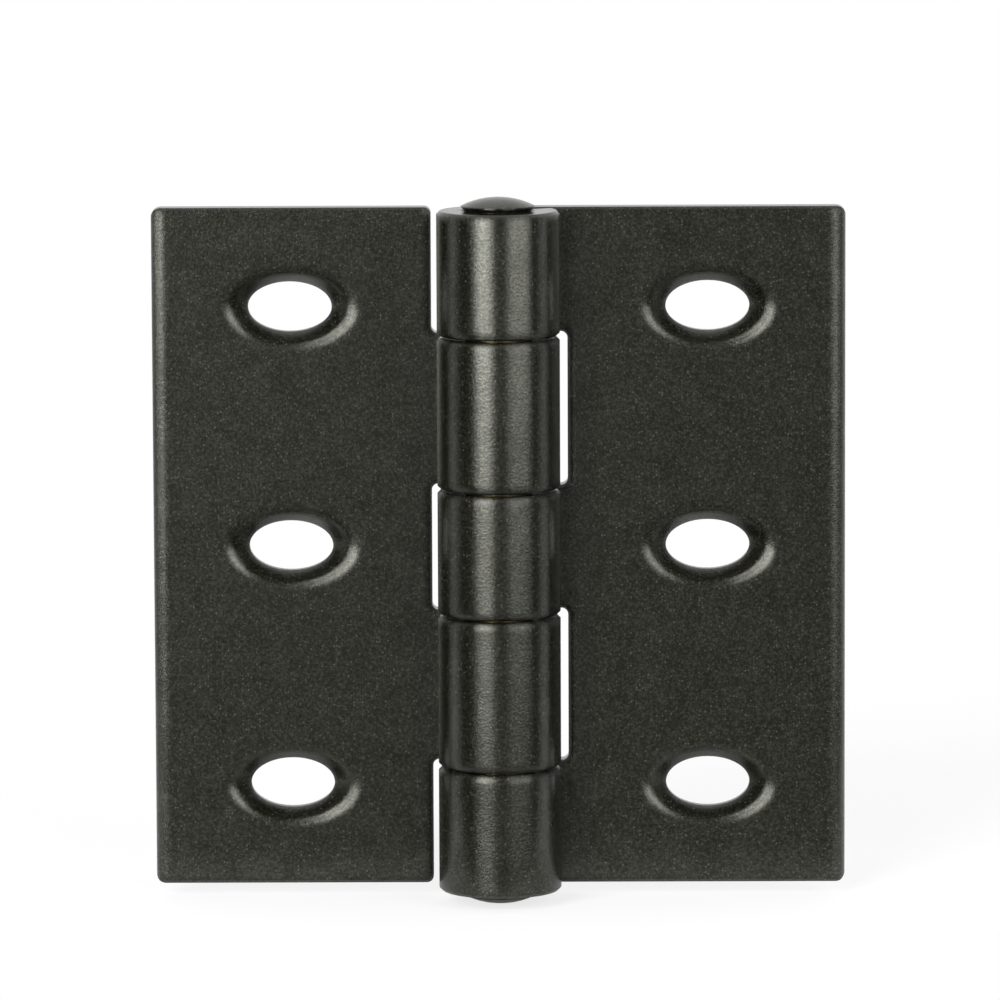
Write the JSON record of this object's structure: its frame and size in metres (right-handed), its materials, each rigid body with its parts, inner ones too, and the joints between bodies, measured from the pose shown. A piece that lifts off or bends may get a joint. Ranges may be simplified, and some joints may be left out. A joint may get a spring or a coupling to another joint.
{
  "type": "furniture butt hinge",
  "caption": "Flat butt hinge for furniture: rolled sheet-steel leaves with dimpled oval screw holes turn on a pin with domed ends.",
  "frame": {"origin": "on the pin's axis at mid-height, which is the centre of the open hinge", "axes": "+Z along the pin, upward; the leaves lie flat along X; -Y is the front, where the screws go in, and +Y the back, against the wood"},
  "size_m": [0.0508, 0.009, 0.052],
  "materials": {
    "coated_sheet": "satin black powder coat with a fine metallic fleck",
    "coated_pin": "steel pin, its domed ends under the same satin black coat"
  },
  "bodies": {
    "fixed_side": {"right_leaf": "coated_sheet", "hinge_pin": "coated_pin"},
    "door_side": {"left_leaf": "coated_sheet"}
  },
  "joints": [
    {"name": "hinge_swing", "type": "hinge", "parent": "fixed_side", "child": "door_side", "pos_m": [0, 0, 0], "axis": [0, 0, 1], "range_deg": [-95, 190]}
  ]
}
